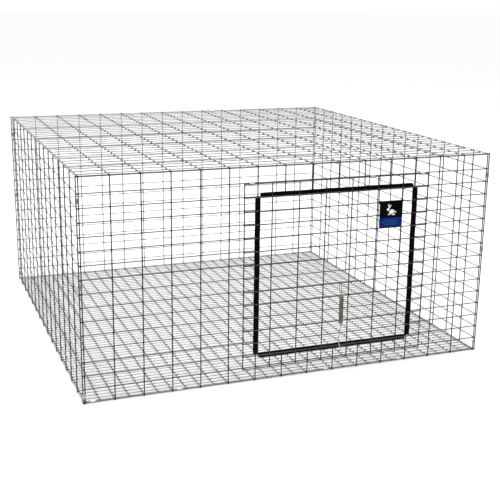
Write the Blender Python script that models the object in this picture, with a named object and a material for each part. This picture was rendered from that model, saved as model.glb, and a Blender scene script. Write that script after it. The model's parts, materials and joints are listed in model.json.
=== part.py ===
"""All-wire rabbit hutch: six welded-mesh panels clipped together along their edges, with a mesh
door hung outside the front doorway, plastic guards round the doorway and a spring latch.

Metres, +Z up.  The front faces -Y, +X is to the right, and the origin is on the ground plane
under the middle of the floor.  Wires are drawn with a square section.  In every mesh the wires
of the two directions lie in two layers, one in front of the other, and both run into an edge wire.
"""
import math

import bpy
import bmesh
from mathutils import Matrix, Vector

for old in list(bpy.data.objects):
    bpy.data.objects.remove(old, do_unlink=True)

# ------------------------------------------------------------------ driving dimensions
HUTCH_WIDTH = 0.762          # front and back mesh, between the centres of their end wires
HUTCH_DEPTH = 0.762          # side mesh, between the centres of their end wires
WALL_HEIGHT = 0.3852         # every wall, between the centres of its bottom and top wires
WALL_WIRE = 0.0020           # wire of the walls, the top and the door
FLOOR_WIRE = 0.0018          # thinner wire of the floor
COLUMN_PITCH = 0.0508        # upright wires of the walls, and the long wires of the top
ROW_PITCH = 0.0238           # level wires of the walls
TOP_CROSS_PITCH = 0.0254     # cross wires of the top
FLOOR_LONG_PITCH = 0.0254    # floor wires that run front to back
FLOOR_CROSS_PITCH = 0.0127   # floor wires that run side to side, on the upper side
LAYER_GAP = 0.0003           # between the two layers of wires in a mesh
FIT_GAP = 0.00035            # between any two pieces that sit together
DOORWAY_FIRST_COLUMN = 6     # upright wire of the front at the doorway's left side
DOORWAY_COLUMNS = 6          # doorway width, in columns
DOORWAY_FIRST_ROW = 2        # level wire of the front at the doorway's sill
DOORWAY_WIRE = 0.0024        # edge wire round the doorway
GUARD_WIDTH = 0.009          # plastic edge guard, across the wire that it covers
GUARD_WALL = 0.001
SIDE_GUARD_SEATS = (-0.0009, 0.0014)   # how far the left and right guards sit out from their wires
LEVEL_GUARD_SEAT = 0.0018    # the same for the top and bottom guards, which are pushed right on
DOOR_STANDOFF = 0.0005       # between the guards and the closed door
CLIP_LENGTH = 0.009          # sheet clips, along the wires
CLIP_SHEET = 0.0006
CLIP_SLOT = 0.0012           # where the two ends of a clip's strip meet
LATCH_ROWS = 6               # the spring hangs this many rows above the door's bottom wire
LATCH_BAY = 3                # column of the door at the left of the spring
LATCH_IN_BAY = 0.65          # place of the spring between that column and the next
SPRING_WIRE = 0.0012
COIL_RADIUS = 0.0034         # to the middle of the spring's wire
COIL_DROP = 0.024            # from the door wire down to the first turn
COIL_LENGTH = 0.049
COIL_TURNS = 16
HOOK_WIRE = 0.0016
HOOK_INSIDE = 0.012          # how far the hook's upper end reaches into the coil
HOOK_EYE_RADIUS = 0.0026
HOOK_CROOK = 0.004           # sideways bend that a finger pulls on
HOOK_NIB = 0.003             # turned-up end behind the front mesh
PLATE_ROOM = 0.0024          # from each side of the plate to the middle of the wire beside it
PLATE_HEIGHT = 0.0485
PLATE_SHEET = 0.001
PLATE_HEM = 0.004            # the part of its top edge that is folded down behind a row
PLATE_BAY = 5                # column of the door at the left of the plate
PLATE_ROW = 2                # row below the door's top wire that the plate hangs on

# ------------------------------------------------------------------ sizes that follow
layer = (WALL_WIRE + LAYER_GAP) / 2                       # a layer's middle from the mesh's middle
wall_bite = WALL_WIRE * 0.2                               # how far past an edge wire's middle others end
mesh_half = layer + WALL_WIRE / 2                         # half the thickness of a wall
floor_layer = (FLOOR_WIRE + LAYER_GAP) / 2
floor_half = floor_layer + FLOOR_WIRE / 2
seam = WALL_WIRE / 2 + FIT_GAP + mesh_half                # between the edge wires of a seam
floor_z = floor_half                                      # middle of the floor and bottom wires
top_z = floor_z + WALL_HEIGHT
front_y = -HUTCH_DEPTH / 2
side_x = HUTCH_WIDTH / 2 + seam
left_end = -HUTCH_WIDTH / 2


def wires_from_edge(length, pitch):
    """Places of the inner wires counted from one end; the last gap takes what is left over."""
    count = int((length - 0.4 * pitch) / pitch)
    return [pitch * (i + 1) for i in range(count)]


def wires_from_middle(length, pitch):
    """Places of the inner wires about the middle of a mesh, one of them on the middle."""
    count = int((length / 2 - 0.4 * pitch) / pitch)
    return [pitch * i for i in range(-count, count + 1)]


columns = [left_end + u for u in wires_from_edge(HUTCH_WIDTH, COLUMN_PITCH)]
side_columns = [front_y + u for u in wires_from_edge(HUTCH_DEPTH, COLUMN_PITCH)]
rows = [floor_z + u for u in wires_from_edge(WALL_HEIGHT, ROW_PITCH)]
top_span = HUTCH_DEPTH - 2 * seam                         # the top and floor sit between the walls
top_cross = wires_from_middle(top_span, TOP_CROSS_PITCH)
floor_long = wires_from_middle(HUTCH_WIDTH, FLOOR_LONG_PITCH)
floor_cross = wires_from_middle(top_span, FLOOR_CROSS_PITCH)

doorway_left = left_end + DOORWAY_FIRST_COLUMN * COLUMN_PITCH
doorway_right = doorway_left + DOORWAY_COLUMNS * COLUMN_PITCH
doorway_bottom = floor_z + DOORWAY_FIRST_ROW * ROW_PITCH
hinge_z = rows[-1]                                        # the door hangs on the highest row
doorway_top = hinge_z - ROW_PITCH

guard_inner = mesh_half + LAYER_GAP                       # guard legs clear both wire layers
guard_half = guard_inner + GUARD_WALL
door_y = front_y - guard_half - DOOR_STANDOFF - mesh_half
door_left = doorway_left - COLUMN_PITCH / 2
door_right = doorway_right + COLUMN_PITCH / 2
door_bottom = doorway_bottom - ROW_PITCH
door_columns = [door_left + u for u in wires_from_edge(door_right - door_left, COLUMN_PITCH)]
door_rows = [door_bottom + u for u in wires_from_edge(hinge_z - door_bottom, ROW_PITCH)]


# ------------------------------------------------------------------ building blocks
def paint(name, colour, roughness, metallic):
    """A Principled material with one colour, roughness and metallic value."""
    material = bpy.data.materials.new(name)
    material.use_nodes = True
    shader = material.node_tree.nodes["Principled BSDF"]
    shader.inputs["Base Color"].default_value = (*colour, 1)
    shader.inputs["Roughness"].default_value = roughness
    shader.inputs["Metallic"].default_value = metallic
    return material


def add_object(name, mesh, origin, look=None):
    """Put a mesh given in world coordinates in the scene, with its object origin at `origin`."""
    mesh.transform(Matrix.Translation(-Vector(origin)))
    thing = bpy.data.objects.new(name, mesh)
    thing.location = origin
    bpy.context.scene.collection.objects.link(thing)
    if look:
        mesh.materials.append(paint(name + "_look", *look))
    return thing


def mesh_of(name, bm):
    """Close a bmesh into mesh data with its faces turned outward."""
    bmesh.ops.recalc_face_normals(bm, faces=bm.faces)
    mesh = bpy.data.meshes.new(name)
    bm.to_mesh(mesh)
    bm.free()
    return mesh


def add_box(bm, low, high):
    """A closed box between two opposite corners."""
    centre = (Vector(low) + Vector(high)) / 2
    size = Vector(high) - Vector(low)
    place = Matrix.Translation(centre) @ Matrix.Diagonal((*size, 1))
    bmesh.ops.create_cube(bm, size=1, matrix=place)


def add_prism(bm, outline, low, high, place):
    """A closed prism: `outline` in the local x-y plane, from `low` to `high` along local z."""
    ends = [[bm.verts.new(place @ Vector((x, y, level))) for x, y in outline] for level in (low, high)]
    count = len(outline)
    bm.faces.new(list(reversed(ends[0])))
    bm.faces.new(ends[1])
    for i in range(count):
        j = (i + 1) % count
        bm.faces.new((ends[0][i], ends[0][j], ends[1][j], ends[1][i]))


def add_ring(bm, low, high, wire, place):
    """A closed four-sided ring of square wire, its wire centred on a rectangle in local x-y."""
    half = wire / 2
    loops = []
    for grow, level in ((half, -half), (half, half), (-half, half), (-half, -half)):
        corners = ((low[0] - grow, low[1] - grow), (high[0] + grow, low[1] - grow),
                   (high[0] + grow, high[1] + grow), (low[0] - grow, high[1] + grow))
        loops.append([bm.verts.new(place @ Vector((x, y, level))) for x, y in corners])
    for a in range(4):
        b = (a + 1) % 4
        for i in range(4):
            j = (i + 1) % 4
            bm.faces.new((loops[a][i], loops[a][j], loops[b][j], loops[b][i]))


def sweep(bm, path, radius, sides):
    """A closed round wire along `path`: each ring turns with the path, without twisting."""
    points = [Vector(p) for p in path]
    count = len(points)
    tangents = [(points[min(i + 1, count - 1)] - points[max(i - 1, 0)]).normalized() for i in range(count)]
    side = tangents[0].orthogonal().normalized()
    rings = []
    for point, tangent in zip(points, tangents):
        side = (side - tangent * side.dot(tangent)).normalized()
        other = tangent.cross(side)
        turns = [2 * math.pi * (k + 0.5) / sides for k in range(sides)]
        rings.append([bm.verts.new(point + radius * (math.cos(t) * side + math.sin(t) * other))
                      for t in turns])
    for first, second in zip(rings, rings[1:]):
        for k in range(sides):
            m = (k + 1) % sides
            bm.faces.new((first[k], first[m], second[m], second[k]))
    bm.faces.new(list(reversed(rings[0])))
    bm.faces.new(rings[-1])


def wire_mesh(name, place, low, high, uprights, levels, wire, origin, look, up_side, hole=None):
    """One welded panel in the local x-y plane of `place`, fused into one solid.

    `uprights` run along local y and lie on the `up_side` of the panel; `levels` run along local x
    on the other side.  The edge wire is a ring in the middle, and every wire ends inside it.  Wires
    that would cross `hole`, a (low, high) rectangle, end on a second ring round it.
    """
    step = up_side * (wire + LAYER_GAP) / 2
    bite = wire * 0.2                                    # how far past a ring's middle a wire ends
    frame = bmesh.new()
    add_ring(frame, low, high, wire, place)
    if hole:
        add_ring(frame, hole[0], hole[1], DOORWAY_WIRE, place)
    bars = bmesh.new()
    for axis, stations, side in ((1, uprights, step), (0, levels, -step)):
        for station in stations:
            pieces = [(low[axis], high[axis])]
            across = 1 - axis
            if hole and hole[0][across] - wire < station < hole[1][across] + wire:
                pieces = [(low[axis], hole[0][axis]), (hole[1][axis], high[axis])]
            for start, stop in pieces:
                a = [0, 0, side - wire / 2]
                b = [0, 0, side + wire / 2]
                a[across], b[across] = station - wire / 2, station + wire / 2
                a[axis], b[axis] = start - bite, stop + bite
                add_box(bars, a, b)
    bars.transform(place)
    panel = add_object(name, mesh_of(name, frame), origin, look)
    wires = add_object(name + "_wires", mesh_of(name + "_wires", bars), origin)
    wires.hide_render = True
    wires.display_type = 'WIRE'
    weld = panel.modifiers.new("weld_wires", 'BOOLEAN')
    weld.operation = 'UNION'
    weld.solver = 'EXACT'
    weld.object = wires
    return panel


def strip_loop(half_long, half_thin):
    """Outline of a sheet strip bent into a flat loop round two wires, open at a narrow slot."""
    a, b, g, t = half_long, half_thin, CLIP_SLOT / 2, CLIP_SHEET
    return [(g, b + t), (g, b), (a, b), (a, -b), (-a, -b), (-a, b), (-g, b), (-g, b + t),
            (-a - t, b + t), (-a - t, -b - t), (a + t, -b - t), (a + t, b + t)]


def axes_at(origin, local_x, local_y):
    """Matrix that puts a local frame at `origin` with the two given directions."""
    x, y = Vector(local_x), Vector(local_y)
    turn = Matrix((x, y, x.cross(y))).transposed().to_4x4()
    return Matrix.Translation(origin) @ turn


ZINC = ((0.47, 0.48, 0.47), 0.35, 0.9)
ZINC_FINE = ((0.42, 0.44, 0.42), 0.4, 0.9)
CLIP_ZINC = ((0.56, 0.57, 0.57), 0.3, 0.95)
BLACK = ((0.02, 0.02, 0.022), 0.35, 0.0)

# ------------------------------------------------------------------ the six panels
# Front and back stand between the two sides; the floor and the top lie between all four walls.
wall_low, wall_high = (left_end, floor_z), (-left_end, top_z)
across, up, back = (1, 0, 0), (0, 0, 1), (0, 1, 0)
front_place = axes_at((0, front_y, 0), across, up)                    # local z points out, to -Y
doorway = ((doorway_left, doorway_bottom), (doorway_right, doorway_top))
front_panel = wire_mesh("front_panel", front_place, wall_low, wall_high, columns, rows, WALL_WIRE,
                        (0, front_y, floor_z), ZINC, 1, doorway)
back_place = axes_at((0, -front_y, 0), across, up)
wire_mesh("back_panel", back_place, wall_low, wall_high, columns, rows, WALL_WIRE,
          (0, -front_y, floor_z), ZINC, -1)
for name, x, up_side in (("left_panel", -side_x, -1), ("right_panel", side_x, 1)):
    wire_mesh(name, axes_at((x, 0, 0), back, up), (front_y, floor_z), (-front_y, top_z),
              side_columns, rows, WALL_WIRE, (x, 0, floor_z), ZINC, up_side)
flat_low, flat_high = (left_end, -top_span / 2), (-left_end, top_span / 2)
wire_mesh("top_panel", axes_at((0, 0, top_z), across, back), flat_low, flat_high, columns, top_cross,
          WALL_WIRE, (0, 0, top_z), ZINC, 1)
wire_mesh("floor_panel", axes_at((0, 0, floor_z), across, back), flat_low, flat_high, floor_long,
          floor_cross, FLOOR_WIRE, (0, 0, floor_z), ZINC_FINE, -1)

# ------------------------------------------------------------------ door and its hinge clips
# The door's top wire is the hinge pin.  Each hinge clip holds it to the front's highest row.
# The door's rows are its outer layer, so nothing that hooks on them reaches into the doorway.
door = wire_mesh("door_panel", axes_at((0, door_y, 0), across, up), (door_left, door_bottom),
                 (door_right, hinge_z), door_columns, door_rows, WALL_WIRE,
                 ((door_left + door_right) / 2, door_y, hinge_z), ZINC, -1)
row_y = front_y + layer                                   # the front's rows are its inner layer
pin_reach = WALL_WIRE / 2 * math.sqrt(2) + FIT_GAP        # room for the square pin to turn
loop_back = row_y + WALL_WIRE / 2 + FIT_GAP
loop_front = door_y - pin_reach
for number, bay in enumerate((0, 4.5, 6.5), 1):           # between a door wire and a front wire
    centre = (door_left + (bay + 0.25) * COLUMN_PITCH, (loop_back + loop_front) / 2, hinge_z)
    bm = bmesh.new()
    add_prism(bm, strip_loop((loop_back - loop_front) / 2, pin_reach), -CLIP_LENGTH / 2,
              CLIP_LENGTH / 2, axes_at(centre, back, up))
    add_object(f"hinge_clip_{number}", mesh_of("hinge_clip", bm), centre, CLIP_ZINC)

# ------------------------------------------------------------------ doorway guards
# A plastic tube split along its length: the round side faces the doorway, the legs the mesh.
# The round side only starts where the wires end, so their two layers fit between the legs.
leg = GUARD_WIDTH / 2
bend_start = LEVEL_GUARD_SEAT + wall_bite
nose = leg - bend_start
bends = [math.pi * (0.5 + k / 8) for k in range(9)]
outer = [(-bend_start + nose * math.cos(t), guard_half * math.sin(t)) for t in bends]
inner = [(-bend_start + (nose - GUARD_WALL) * math.cos(t), guard_inner * math.sin(t)) for t in bends]
guard_outline = ([(leg, guard_half)] + outer + [(leg, -guard_half), (leg, -guard_inner)]
                 + inner[::-1] + [(leg, guard_inner)])
side_end = DOORWAY_WIRE / 2 + FIT_GAP                     # side guards stop short of the cross wires
left_x = doorway_left - SIDE_GUARD_SEATS[0]
right_x = doorway_right + SIDE_GUARD_SEATS[1]
bottom_guard_z = doorway_bottom - LEVEL_GUARD_SEAT
top_guard_z = doorway_top + LEVEL_GUARD_SEAT
middle = ((left_x + right_x) / 2, (doorway_bottom + doorway_top) / 2)
half_high = (doorway_top - doorway_bottom) / 2 - side_end
half_wide = (right_x - left_x) / 2 - GUARD_WIDTH / 2 - FIT_GAP    # they end at the side guards
for name, spot, outward, half_long in (
        ("door_guard_left", (left_x, front_y, middle[1]), (-1, 0, 0), half_high),
        ("door_guard_right", (right_x, front_y, middle[1]), (1, 0, 0), half_high),
        ("door_guard_bottom", (middle[0], front_y, bottom_guard_z), (0, 0, -1), half_wide),
        ("door_guard_top", (middle[0], front_y, top_guard_z), (0, 0, 1), half_wide)):
    bm = bmesh.new()
    add_prism(bm, guard_outline, -half_long, half_long, axes_at(spot, outward, back))
    add_object(name, mesh_of(name, bm), spot, BLACK)

# ------------------------------------------------------------------ spring latch on the door
# The spring's upper loop turns on a row of the door; the hook slides in the end of the coil.
latch_x = door_left + (LATCH_BAY + LATCH_IN_BAY) * COLUMN_PITCH
pivot = Vector((latch_x, door_y - layer, door_bottom + LATCH_ROWS * ROW_PITCH))
coil_y = door_y - mesh_half - 2 * FIT_GAP - COIL_RADIUS - SPRING_WIRE / 2
loop = pin_reach + SPRING_WIRE / 2 * math.sqrt(2)
path = [pivot + loop * Vector((0, math.cos(t), math.sin(t)))
        for t in [math.radians(-60 + 30 * k) for k in range(8)]]
shaft_y = coil_y - pivot.y
path += [pivot + Vector((0, shaft_y, -0.3 * COIL_DROP)), pivot + Vector((0, shaft_y, -0.8 * COIL_DROP))]
for k in range(COIL_TURNS * 8 + 1):
    turn = 2 * math.pi * k / 8
    path.append(pivot + Vector((COIL_RADIUS * math.sin(turn), shaft_y + COIL_RADIUS * math.cos(turn),
                                -COIL_DROP - COIL_LENGTH * k / (COIL_TURNS * 8))))
bm = bmesh.new()
sweep(bm, path, SPRING_WIRE / 2 * math.sqrt(2), 4)
spring = add_object("latch_spring", mesh_of("latch_spring", bm), pivot, ((0.30, 0.27, 0.23), 0.4, 0.9))

coil_end = pivot.z - COIL_DROP - COIL_LENGTH
eye_z = coil_end - 2 * HOOK_EYE_RADIUS
eye_y = coil_y + HOOK_WIRE                                # the shank leaves the eye one wire in front
lip_z = door_bottom - WALL_WIRE / 2 - FIT_GAP - HOOK_WIRE / 2
nib_y = row_y + WALL_WIRE / 2 + FIT_GAP + HOOK_WIRE / 2
path = [(latch_x, coil_y, coil_end + HOOK_INSIDE), (latch_x, coil_y, coil_end + HOOK_INSIDE / 2),
        (latch_x, coil_y, coil_end - HOOK_EYE_RADIUS / 2)]
for k in range(1, 11):
    turn = math.radians(90 - 36 * k)
    path.append((latch_x + HOOK_EYE_RADIUS * math.cos(turn), coil_y - 1.5 * HOOK_WIRE * k / 10,
                 eye_z + HOOK_EYE_RADIUS * math.sin(turn)))
shank = eye_z - lip_z
shank_y = coil_y - 1.5 * HOOK_WIRE
for aside, down, lean in ((0.5, 0.12, 1), (1, 0.3, 1), (1, 0.45, 0.8), (0, 0.65, 0.4), (-0.3, 0.8, 0)):
    path.append((latch_x - HOOK_CROOK * aside, coil_y + (shank_y - coil_y) * lean, eye_z - shank * down))
path += [(latch_x, coil_y, lip_z + HOOK_WIRE), (latch_x, coil_y + HOOK_WIRE / 2, lip_z + HOOK_WIRE / 4),
         (latch_x, coil_y + 1.5 * HOOK_WIRE, lip_z), (latch_x, nib_y - HOOK_WIRE, lip_z),
         (latch_x, nib_y - HOOK_WIRE / 4, lip_z + HOOK_WIRE / 4), (latch_x, nib_y, lip_z + HOOK_WIRE),
         (latch_x, nib_y, lip_z + HOOK_NIB)]
bm = bmesh.new()
sweep(bm, path, HOOK_WIRE / 2, 6)
hook = add_object("latch_hook", mesh_of("latch_hook", bm), (latch_x, coil_y, coil_end),
                  ((0.62, 0.62, 0.60), 0.3, 0.95))

# ------------------------------------------------------------------ name plate on the door
# It lies on the door's rows between two upright wires, and its top edge is folded over a row.
plate_x = door_left + (PLATE_BAY + 0.5) * COLUMN_PITCH
plate_half = COLUMN_PITCH / 2 - PLATE_ROOM
hang_z = hinge_z - PLATE_ROW * ROW_PITCH
near = WALL_WIRE / 2 + FIT_GAP                            # inside of the fold, from the row's middle
far = near + PLATE_SHEET
fold = [(-far, far - PLATE_HEIGHT), (-near, far - PLATE_HEIGHT), (-near, near), (near, near),
        (near, -PLATE_HEM), (far, -PLATE_HEM), (far, far), (-far, far)]
row_spot = (plate_x, door_y - layer, hang_z)
bm = bmesh.new()
add_prism(bm, fold, -plate_half, plate_half, axes_at(row_spot, back, up))
plate = add_object("name_plate", mesh_of("name_plate", bm), row_spot, ((0.03, 0.03, 0.035), 0.4, 0.0))


# ------------------------------------------------------------------ seam clips
def clear_spot(target, *wire_sets):
    """Middle of the gap nearest to `target` that leaves room for a clip between all the wires."""
    room = CLIP_LENGTH + WALL_WIRE + 2 * FIT_GAP
    places = sorted(u for wires in wire_sets for u in wires)
    gaps = [(a + b) / 2 for a, b in zip(places, places[1:]) if b - a >= room]
    return min(gaps, key=lambda u: abs(u - target))


loop_long = seam / 2 + WALL_WIRE / 2 + LAYER_GAP
loop_thin = WALL_WIRE / 2 + LAYER_GAP


def seam_clips(name, start, stop, fractions, wire_sets, centre, local_x, local_y, along):
    """Clips round the two edge wires of a seam, at given fractions of its length."""
    for number, fraction in enumerate(fractions, 1):
        spot = list(centre)
        spot[along] = clear_spot(start + (stop - start) * fraction, [start, stop], *wire_sets)
        bm = bmesh.new()
        add_prism(bm, strip_loop(loop_long, loop_thin), -CLIP_LENGTH / 2, CLIP_LENGTH / 2,
                  axes_at(spot, local_x, local_y))
        add_object(f"{name}_clip_{number}", mesh_of(name + "_clip", bm), spot, CLIP_ZINC)


pair_y = -front_y - seam / 2                              # middle of a seam along the front or back
pair_x = HUTCH_WIDTH / 2 + seam / 2                       # middle of a seam along a side
for side, sign in (("front", -1), ("back", 1)):
    low_fractions = (0.02, 0.22, 0.58, 0.78) if side == "front" else (0.15, 0.5, 0.85)
    seam_clips(side + "_floor", left_end, -left_end, low_fractions, (columns, floor_long),
               (0, sign * pair_y, floor_z), back, up, 0)
    seam_clips(side + "_top", left_end, -left_end, (0.36, 0.64, 0.94), (columns,),
               (0, sign * pair_y, top_z), back, (0, 0, -1), 0)
for side, sign in (("left", -1), ("right", 1)):
    seam_clips(side + "_floor", -top_span / 2, top_span / 2, (0.12, 0.5, 0.88),
               (side_columns, floor_cross), (sign * pair_x, 0, floor_z), across, up, 1)
    seam_clips(side + "_top", -top_span / 2, top_span / 2, (0.12, 0.5, 0.88),
               (side_columns, top_cross), (sign * pair_x, 0, top_z), across, (0, 0, -1), 1)
    for end, y, inward in (("front", front_y, 1), ("back", -front_y, -1)):
        seam_clips(f"{end}_{side}", floor_z, top_z, (0.03, 0.5, 0.9), (rows,),
                   (sign * pair_x, y, 0), across, (0, inward, 0), 2)

# ------------------------------------------------------------------ what rides on what
bpy.context.view_layer.update()
for child, parent in ((door, front_panel), (plate, door), (spring, door), (hook, spring)):
    child.parent = parent
    child.matrix_parent_inverse = parent.matrix_world.inverted()
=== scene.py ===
"""All-wire rabbit hutch: clipped welded-mesh panels, a mesh door on a guarded doorway, a spring latch."""
import json
import math

import bpy
import numpy as np
from mathutils import Matrix, Vector


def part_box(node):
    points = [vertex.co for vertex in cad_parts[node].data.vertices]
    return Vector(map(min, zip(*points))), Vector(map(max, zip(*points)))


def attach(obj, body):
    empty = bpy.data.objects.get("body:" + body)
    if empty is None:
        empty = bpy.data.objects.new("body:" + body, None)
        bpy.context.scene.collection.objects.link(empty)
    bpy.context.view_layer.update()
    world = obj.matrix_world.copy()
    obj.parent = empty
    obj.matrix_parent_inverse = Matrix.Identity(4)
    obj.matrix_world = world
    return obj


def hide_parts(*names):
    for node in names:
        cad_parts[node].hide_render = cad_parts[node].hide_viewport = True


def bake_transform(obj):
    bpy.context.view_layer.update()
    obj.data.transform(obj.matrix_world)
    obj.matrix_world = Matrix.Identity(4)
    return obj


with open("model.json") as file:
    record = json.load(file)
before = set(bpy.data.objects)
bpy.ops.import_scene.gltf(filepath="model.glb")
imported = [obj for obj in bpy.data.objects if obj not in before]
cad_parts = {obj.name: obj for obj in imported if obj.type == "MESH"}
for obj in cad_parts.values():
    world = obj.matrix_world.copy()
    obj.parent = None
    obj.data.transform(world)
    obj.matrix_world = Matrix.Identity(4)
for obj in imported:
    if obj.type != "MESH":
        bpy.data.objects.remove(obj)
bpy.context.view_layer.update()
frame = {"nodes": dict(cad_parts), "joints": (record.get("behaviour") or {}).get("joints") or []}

# ------------------------------------------------------------------------------------------------
# Studio.  A plain pale floor under an even white sky, with three large soft lamps.  Only the gloss
# on the wires meets darker cards: a sky that is dark at the horizon, most of all in front, and
# bright overhead, and a floor that darkens away from the hutch.


def node(tree, kind, inputs=None, **settings):
    """A node with its settings made; inputs maps a socket's name or number to a value or a source socket."""
    made = tree.nodes.new(kind)
    for key, value in settings.items():
        setattr(made, key, value)
    for key, value in (inputs or {}).items():
        if isinstance(value, bpy.types.NodeSocket):
            tree.links.new(value, made.inputs[key])
        else:
            made.inputs[key].default_value = value
    return made


def spread(tree, value, low, high, to_low, to_high):
    """The socket of `value` stretched from low..high to to_low..to_high, and held inside them."""
    stretched = node(tree, 'ShaderNodeMapRange', {0: value, 1: low, 2: high, 3: to_low, 4: to_high})
    return stretched.outputs[0]


def maths(tree, operation, first, second):
    """The value socket of one sum or product."""
    return node(tree, 'ShaderNodeMath', {0: first, 1: second}, operation=operation).outputs[0]


def blend_colour(tree, share, first, second, mode='MIX'):
    """The colour socket of a mix of two colours; share runs from the first to the second."""
    mix = node(tree, 'ShaderNodeMix', {0: share, 6: first, 7: second}, data_type='RGBA', blend_type=mode)
    return mix.outputs[2]


def grey(tree, tone):
    """The colour socket of an even grey."""
    return node(tree, 'ShaderNodeCombineColor', {0: tone, 1: tone, 2: tone}).outputs[0]


def is_gloss(tree):
    """The socket that is 1 for a ray mirrored by a surface, and 0 for any other."""
    return node(tree, 'ShaderNodeLightPath').outputs['Is Glossy Ray']


world = bpy.data.worlds.new("white_sky")
world.use_nodes = True
sky = world.node_tree
sky.nodes["Background"].inputs["Strength"].default_value = 1.0
sky.nodes["Background"].inputs["Color"].default_value = (1.0, 1.0, 1.0, 1)
direction = node(sky, 'ShaderNodeSeparateXYZ', {0: node(sky, 'ShaderNodeTexCoord').outputs['Generated']})
by_depth = spread(sky, direction.outputs[1], -0.1, 0.5, 0.06, 0.30)
by_height = spread(sky, direction.outputs[2], 0.30, 0.70, 0.0, 1.5)
cards = node(sky, 'ShaderNodeBackground', {'Color': (1.0, 1.0, 1.0, 1),
                                           'Strength': maths(sky, 'ADD', by_depth, by_height)})
both = node(sky, 'ShaderNodeMixShader', {0: is_gloss(sky), 1: sky.nodes["Background"].outputs[0],
                                         2: cards.outputs[0]})
sky.links.new(both.outputs[0], sky.nodes["World Output"].inputs[0])
bpy.context.scene.world = world
bpy.context.scene.view_settings.view_transform = 'Standard'

pale = bpy.data.materials.new("pale_floor")
pale.use_nodes = True
ground = pale.node_tree
position = node(ground, 'ShaderNodeNewGeometry').outputs['Position']
away = node(ground, 'ShaderNodeVectorMath', {0: position}, operation='LENGTH').outputs['Value']
mirrored = grey(ground, spread(ground, away, 0.3, 0.9, 0.85, 0.14))
ground_colour = blend_colour(ground, is_gloss(ground), (0.97, 0.97, 0.97, 1), mirrored)
ground_shader = ground.nodes["Principled BSDF"]
ground.links.new(ground_colour, ground_shader.inputs["Base Color"])
ground_shader.inputs["Roughness"].default_value = 1.0
ground_shader.inputs["Specular IOR Level"].default_value = 0.0
half = 30.0                              # half a side of the floor
sheet = bpy.data.meshes.new("studio_floor")
sheet.from_pydata([(-half, -half, 0), (half, -half, 0), (half, half, 0), (-half, half, 0)], [],
                  [(0, 1, 2, 3)])
sheet.materials.append(pale)
studio_floor = bpy.data.objects.new("studio_floor", sheet)
bpy.context.scene.collection.objects.link(studio_floor)

hutch_middle = (0, 0, 0.2)
for name, spot, width, watts in (("key_lamp", (-2.6, -2.4, 3.0), 2.2, 24),
                                 ("side_lamp", (3.0, -1.0, 2.4), 2.0, 14),
                                 ("top_lamp", (0.0, 0.6, 2.6), 2.4, 34)):
    lamp = bpy.data.lights.new(name, 'AREA')
    lamp.size = width
    lamp.energy = watts
    stand = bpy.data.objects.new(name, lamp)
    stand.location = spot
    stand.rotation_euler = (Vector(hutch_middle) - Vector(spot)).to_track_quat('-Z', 'Y').to_euler()
    bpy.context.scene.collection.objects.link(stand)

camera = bpy.data.cameras.new("camera")
camera.sensor_width = 36.0
camera.lens = 67.9
viewpoint = bpy.data.objects.new("camera", camera)
lens_place = (-0.656, -1.837, 0.667)
heading, tilt, roll = math.radians(-21.28), math.radians(90 - 15.19), math.radians(0.78)
viewpoint.matrix_world = (Matrix.Translation(lens_place) @ Matrix.Rotation(heading, 4, 'Z')
                          @ Matrix.Rotation(tilt, 4, 'X') @ Matrix.Rotation(roll, 4, 'Z'))
bpy.context.scene.collection.objects.link(viewpoint)
bpy.context.scene.camera = viewpoint

# ------------------------------------------------------------------------------------------------
# Zinc.  Every wire and clip is steel with a hot-dip zinc coat: a mottle of grey crystals, drawn
# marks and dull patches.  One node group holds the coat, and each material gives it its own greys.


def new_group(name, inputs, outputs):
    """A shader node group with the named inputs (name, kind, value) and outputs (name, kind)."""
    tree = bpy.data.node_groups.new(name, 'ShaderNodeTree')
    for label, kind, value in inputs:
        socket = tree.interface.new_socket(label, in_out='INPUT', socket_type=kind)
        socket.default_value = value
    for label, kind in outputs:
        tree.interface.new_socket(label, in_out='OUTPUT', socket_type=kind)
    return tree, tree.nodes.new('NodeGroupInput'), tree.nodes.new('NodeGroupOutput')


def noise(tree, where, scale, detail=3.0, rough=0.55):
    """The value socket of a noise pattern, `scale` cells to the metre."""
    return node(tree, 'ShaderNodeTexNoise', {'Vector': where, 'Scale': scale, 'Detail': detail,
                                             'Roughness': rough}).outputs[0]


zinc_coat, given, result = new_group(
    "zinc_coat",
    [("Bright", 'NodeSocketColor', (0.4, 0.4, 0.4, 1)), ("Dull", 'NodeSocketColor', (0.2, 0.2, 0.2, 1)),
     ("Burnt", 'NodeSocketColor', (0.06, 0.05, 0.04, 1)), ("Crystals", 'NodeSocketFloat', 350.0),
     ("Weld", 'NodeSocketFloat', 0.0)],
    [("Colour", 'NodeSocketColor'), ("Roughness", 'NodeSocketFloat'), ("Height", 'NodeSocketFloat')])
place = node(zinc_coat, 'ShaderNodeTexCoord').outputs['Object']
crystal = node(zinc_coat, 'ShaderNodeTexVoronoi', {'Vector': place, 'Scale': given.outputs['Crystals']})
facet = node(zinc_coat, 'ShaderNodeSeparateColor', {0: crystal.outputs['Color']}).outputs[0]
cloud = noise(zinc_coat, place, 9.0, 4.0)
speck = noise(zinc_coat, place, 900.0, 2.0)
patch = noise(zinc_coat, place, 60.0, 3.0)
dullness = maths(zinc_coat, 'ADD', spread(zinc_coat, cloud, 0.35, 0.65, 0.0, 0.55),
                 spread(zinc_coat, patch, 0.4, 0.7, 0.0, 0.45))
colour = blend_colour(zinc_coat, dullness, given.outputs['Bright'], given.outputs['Dull'])
tone = spread(zinc_coat, facet, 0.0, 1.0, 0.78, 1.15)
colour = blend_colour(zinc_coat, 1.0, colour, grey(zinc_coat, tone), 'MULTIPLY')
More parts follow.
